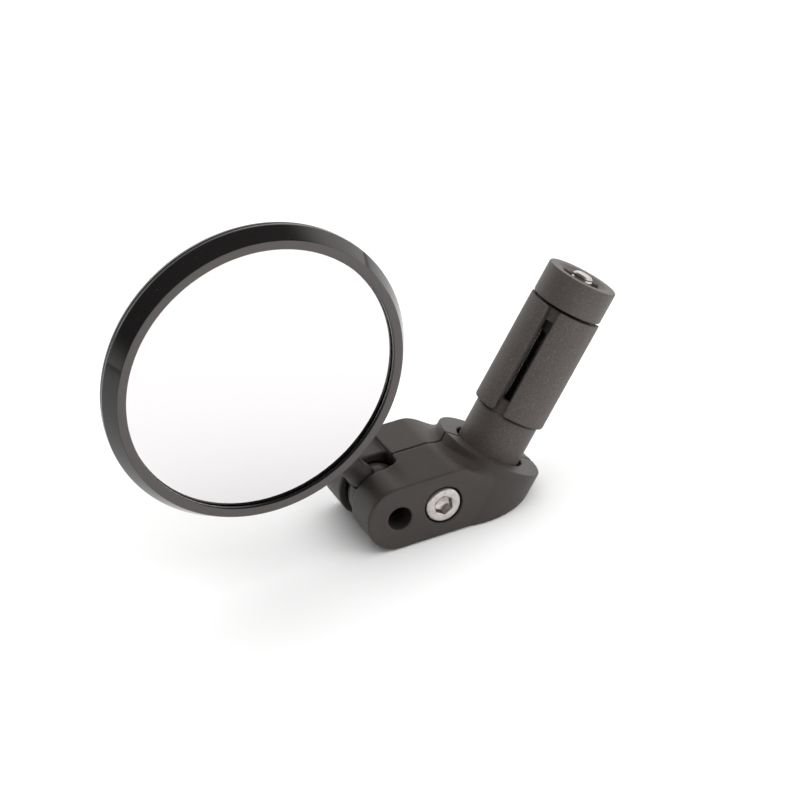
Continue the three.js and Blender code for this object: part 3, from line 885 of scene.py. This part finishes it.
def cap_shape(x, y, z):
    radial = np.hypot(x, y)
    skirt = meet(radial - CAP, np.maximum(z - cap_high[2], CAP_FOOT - z), 0.25)
    cone = radial - CONE_TIP - (z - cap_low[2]) * CONE_GROWTH
    cone = np.maximum(cone, np.maximum(cap_low[2] - z, z - CAP_FOOT - 1))
    body = merge(skirt, cone, 0.2)
    funnel = (radial - MOUTH + (cap_high[2] - z) * FUNNEL_SLOPE) * FUNNEL_SCALE
    body = without(body, funnel, 0.12)
    nut_pocket = np.maximum(hexagonal(x, y) - NUT_FLATS / 2 - GAP, CAP_FOOT + WEB - z)
    body = without(body, nut_pocket, 0.15)
    return without(body, radial - BOLT_HOLE, 0.15)


cap = moulded("wedge_cap_moulding", cap_shape, cap_low, cap_high, 0.18, plug_place)
settle(cap, "wedge_cap", "cap", plug_finish)

# %% [markdown]
# Fasteners are closed skins over rings. A ring gives a radius and a height for each angle, so one
# ring can be a circle and the next a hexagon with the same number of points, or part of a helix.

# %% Rings
SCREW_SIDES = 96


def six_sided(angle):
    """How much further a hexagon's side is at an angle than its flat's middle."""
    within = (angle + math.pi / 6) % (math.pi / 3) - math.pi / 6
    return 1 / math.cos(within)


def ringed(name, rings, where, sides=SCREW_SIDES):
    """A closed skin over rings given as functions of the angle; the end rings are capped."""
    verts = ring_points(rings, sides)
    faces = bands(len(rings), sides, False)
    faces += fan(verts, 0, sides, 1)
    faces += fan(verts, len(rings) - 1, sides, -1)
    return piece(name, verts, faces, where)


def ring_points(rings, sides):
    """Points of rings, each of which gives a radius and a height for an angle."""
    verts = []
    for ring in rings:
        for a in around(sides):
            radius, height = ring(a)
            verts.append((radius * MM * math.cos(a), radius * MM * math.sin(a), height * MM))
    return verts


def fan(verts, row, sides, turn):
    """Closes one end with a fan round its middle point."""
    rim = range(row * sides, (row + 1) * sides)
    middle = np.mean([verts[i] for i in rim], axis=0)
    verts.append(tuple(middle))
    return [(rim[i - 1], len(verts) - 1, rim[i])[::turn] for i in range(sides)]


def circle(angle):
    return 1.0


def steady(radius, height, outline=circle):
    """A level ring; its outline stretches the radius by angle."""
    return lambda angle: (radius * outline(angle), height)

# %% [markdown]
# A socket head cap screw has a hexagon hole with a chamfered mouth, a turned head and a shank
# whose last part is threaded. A thread is a helix, so its ring's radius depends on angle and
# height together. The thread starts shallow and ends in a chamfer.

# %% Socket head screws
THREAD_PITCH = 0.8
THREAD_DEPTH = 0.3
THREAD_LENGTH = 9
THREAD_RINGS = 100
SOCKET_FLATS = 4.0
SOCKET_DEPTH = 1.6
HEAD_HEIGHT = 5.0
SHANK = 2.5


def thread_ring(radius, height, depth):
    """One ring of a thread that climbs with the angle."""
    def ring(angle):
        turn = (height / THREAD_PITCH - angle / (2 * math.pi)) % 1
        return radius - depth * abs(2 * turn - 1), height
    return ring


def socket_and_head(head):
    """Rings from the socket's floor, over the head's top, to the head's underside."""
    flat = SOCKET_FLATS / 2
    floor = [(flat * 0.5, SOCKET_DEPTH + 0.5, circle)]
    walls = [(flat - 0.12, SOCKET_DEPTH), (flat, SOCKET_DEPTH - 0.15), (flat, 0.28), (flat + 0.03, 0.15)]
    top = [(flat + 0.28, 0.03), (flat + 0.5, 0.0), (head - 0.75, 0.0), (head - 0.5, 0.03),
           (head - 0.12, 0.33), (head, 0.6), (head, HEAD_HEIGHT - 0.15), (head - 0.1, HEAD_HEIGHT)]
    rows = floor + [(*row, six_sided) for row in walls] + [(*row, circle) for row in top]
    return [steady(*row) for row in rows]


def cap_screw(name, where, end):
    """A socket head cap screw: head's top at 0, shank up to end, the last part threaded."""
    rings = socket_and_head(HEAD_RADIUS)
    rings += [steady(SHANK + 0.2, HEAD_HEIGHT), steady(SHANK, HEAD_HEIGHT + 0.2)]
    start = end - THREAD_LENGTH
    rings += [steady(SHANK, start)]
    for k in range(THREAD_RINGS + 1):
        height = start + 0.1 + (THREAD_LENGTH - 0.75) * k / THREAD_RINGS
        rings.append(thread_ring(SHANK, height, THREAD_DEPTH * min(1, k / 8)))
    chamfer = [(0.2, 0.45), (0.3, 0.35), (0.62, 0.06), (0.75, 0.02), (1.2, -0.06), (1.9, -0.12)]
    rings += [steady(SHANK - inset, end - drop) for inset, drop in chamfer]
    return ringed(name, rings, where)


def on_screw_axis(height_mm):
    """A place on the clamp screw's axis, at a distance back from the parting line."""
    return place(ball_centre + Vector((SCREW_X * MM, height_mm * MM, 0)), BACK, (1, 0, 0))


def on_plug_axis(height_mm):
    return plug_place @ Matrix.Translation((0, 0, height_mm * MM))


low, high = span("clamp_screw", clamp_place)
clamp_screw = cap_screw("clamp_cap_screw", on_screw_axis(low[1]), high[1] - low[1])
settle(clamp_screw, "clamp_screw", "screw", bright_steel)
low, high = span("expander_bolt", plug_place)
bolt = cap_screw("long_cap_screw", on_plug_axis(low[2]), high[2] - low[2])
settle(bolt, "expander_bolt", "bolt", bright_steel)
print("bolt:", round(high[2] - low[2], 1), "mm long")

# %% [markdown]
# A nut is a ring whose outline is a hexagon in the middle and a circle at both faces, because its
# corners are turned off.

# %% Nuts
NUT_BORE = 2.8


def hexagon_nut(name, where, height):
    """A nut whose corners are turned off at both faces, as a ring that closes on itself."""
    flat, bore = NUT_FLATS / 2, NUT_BORE

    def blunt(share):
        return lambda angle: 1 + (six_sided(angle) - 1) * share

    lower = [(bore, 0.3, circle), (bore + 0.3, 0, circle), (flat - 0.1, 0, circle),
             (flat, 0.12, blunt(0.35)), (flat, 0.5, blunt(1))]
    upper = [(radius, height - up, outline) for radius, up, outline in reversed(lower)]
    rings = [steady(*row) for row in lower + upper]
    faces = bands(len(rings), SCREW_SIDES, True)
    return piece(name, ring_points(rings, SCREW_SIDES), faces, where)


low, high = span("clamp_nut", clamp_place)
clamp_nut = hexagon_nut("clamp_hexagon_nut", on_screw_axis(low[1]), high[1] - low[1])
settle(clamp_nut, "clamp_nut", "clamp", bright_steel)
low, high = span("wedge_nut", plug_place)
wedge_nut = hexagon_nut("wedge_hexagon_nut", on_plug_axis(low[2]), high[2] - low[2])
# The wedge nut takes the near-black steel, which is partly painted shade for the pocket it sits in.
settle(wedge_nut, "wedge_nut", "cap", blackened_painted_shade_steel)

# %% [markdown]
# Two small pan head screws hold the foot to the back shell. Their heads carry a cross recess,
# made as four shallow grooves by pulling the top rings' points down near two crossing lines.

# %% Foot screws
DOME = 1.9


def cross_recess(a, b):
    """Depth of the cross at a point of the head, in millimetres."""
    arm_length, half_width, depth = 1.25, 0.28, 0.8
    near = min(abs(a), abs(b))
    if max(abs(a), abs(b)) > arm_length or near > half_width:
        return 0.0
    return depth * (1 - 0.45 * max(abs(a), abs(b)) / arm_length)


def pan_screw(name, where):
    """A dome on a grid of rings, fine enough for the cross; shank below."""
    def dome(radius):
        def ring(angle):
            a, b = radius * math.cos(angle), radius * math.sin(angle)
            return radius, DOME - 0.19 * radius ** 2 - cross_recess(a, b)
        return ring

    rings = [dome(0.04 + 1.86 * k / 30) for k in range(30)]
    rings += [steady(1.9, 1.2), steady(2.25, 0.95), steady(2.45, 0.6), steady(2.5, 0.3),
              steady(2.42, 0.0), steady(1.35, 0.0), steady(1.3, -6.2), steady(0.6, -7.0)]
    return ringed(name, rings, where)


for number in (1, 2):
    node = f"foot_screw_{number}"
    low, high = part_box(node)
    middle = (low + high) / 2
    where = place((middle.x, high.y - DOME * MM, middle.z), BACK, (1, 0, 0.4 * number))
    settle(pan_screw(f"pan_screw_{number}", where), node, "mirror_head", bright_steel)

# %% [markdown]
# A plain washer lies under each screw's head. It is punched from sheet, so one edge is slightly
# rounded; here all four are.

# %% Washers
WASHER_OUTER = 4.35


def washer(name, where, height):
    """A flat ring from height 0 upwards."""
    inner, outer = NUT_BORE, WASHER_OUTER
    corners = [(inner, 0), (outer, 0), (outer, height), (inner, height)]
    profile = rounded([corners[-1], *corners, corners[0]], 0.12)[1:-1]
    return spun(name, profile, where, ring=True, sides=SCREW_SIDES)


low, high = span("clamp_washer", clamp_place)
clamp_washer = washer("clamp_plain_washer", on_screw_axis(low[1]), high[1] - low[1])
settle(clamp_washer, "clamp_washer", "clamp", bright_steel)
low, high = span("bolt_washer", plug_place)
bolt_washer = washer("bolt_plain_washer", on_plug_axis(low[2]), high[2] - low[2])
settle(bolt_washer, "bolt_washer", "plug", bright_steel)

# %% [markdown]
# The adhesive disc behind the glass stays as the CAD made it, because only its edge could ever
# be seen. It only takes a foam finish.

# %% Adhesive disc
disc = frame["nodes"]["glass_pad"]
disc.data.materials.clear()
disc.data.materials.append(foam_finish)

# %% [markdown]
# The stage is a plain pale floor. The room round it is bright near the horizon and dark overhead,
# and its bright part reaches higher at the back and right, like a table between white walls with
# a window behind. Black plastic then shows long soft reflections low on its sides and stays deep
# where it faces up. Two wide lamps that reflections leave out fill in the light.

# %% Floor, room and lamps
def plain_floor():
    side = 6.0
    verts = [(-side, -side, 0), (side, -side, 0), (side, side, 0), (-side, side, 0)]
    floor = piece("floor", verts, [(0, 1, 2, 3)], Matrix.Translation((0, 0, -0.0002)))
    finish = Finish("floor_card", Roughness=0.9, Specular_IOR_Level=0.1)
    paper = finish.noise(3, 2)
    floor.data.materials.append(
        finish.shows(Base_Color=finish.mix(paper, (0.96, 0.96, 0.96), (0.98, 0.98, 0.98))))


def studio_room():
    world = bpy.data.worlds.new("studio")
    bpy.context.scene.world = world
    world.use_nodes = True
    tree = world.node_tree
    room = Nodes(tree, "Generated")
    height = room.node("ShaderNodeSeparateXYZ", None, {0: room.here}, output=2)
    across = room.node("ShaderNodeVectorMath", {"operation": "DOT_PRODUCT"},
                       {0: room.here, 1: (0.75, 0.66, 0)}, output="Value")
    overhead = (height - across * 0.35).above(0.1, 0.55)
    walls = room.mix(overhead, (1.0, 0.975, 0.955), (0.08, 0.08, 0.08))
    background = tree.nodes["Background"]
    room.feed(background.inputs["Color"], walls)
    background.inputs["Strength"].default_value = 1.45


def lamp(name, power, size, position, hidden):
    data = bpy.data.lights.new(name, "AREA")
    data.shape = "DISK"
    data.energy = power
    data.size = size
    made = bpy.data.objects.new(name, data)
    bpy.context.scene.collection.objects.link(made)
    made.location = position
    made.rotation_mode = "QUATERNION"
    made.rotation_quaternion = (-Vector(position)).to_track_quat("-Z", "Y")
    made.visible_glossy = not hidden


plain_floor()
studio_room()
lamp("overhead", 26.0, 2.6, (0.1, 0.15, 1.2), True)
lamp("front_right", 7.0, 1.2, (0.6, -1.0, 0.6), True)

# %% [markdown]
# The camera looks down a little over thirty degrees from the front left, with a long lens, so
# that the mirror keeps its shape. It is set by its place and by the directions of its right and
# its up, which also carry a slight roll.

# %% Camera
LENS = 122.7
SENSOR = 36
CAMERA_AT = (-0.18786, -0.47361, 0.34311)
CAMERA_RIGHT = Vector((0.90544, -0.41901, -0.06782))
CAMERA_UP = Vector((0.27210, 0.45032, 0.85038))


def camera():
    data = bpy.data.cameras.new("camera")
    data.lens = LENS
    data.sensor_width = SENSOR
    data.clip_start, data.clip_end = 0.02, 50
    made = bpy.data.objects.new("camera", data)
    bpy.context.scene.collection.objects.link(made)
    back = CAMERA_RIGHT.cross(CAMERA_UP).normalized()
    up = back.cross(CAMERA_RIGHT).normalized()
    turn = Matrix((CAMERA_RIGHT.normalized(), up, back)).transposed().to_4x4()
    made.matrix_world = Matrix.Translation(CAMERA_AT) @ turn
    bpy.context.scene.camera = made


camera()
scene = bpy.context.scene
scene.view_settings.view_transform = "Standard"
scene.view_settings.look = "None"
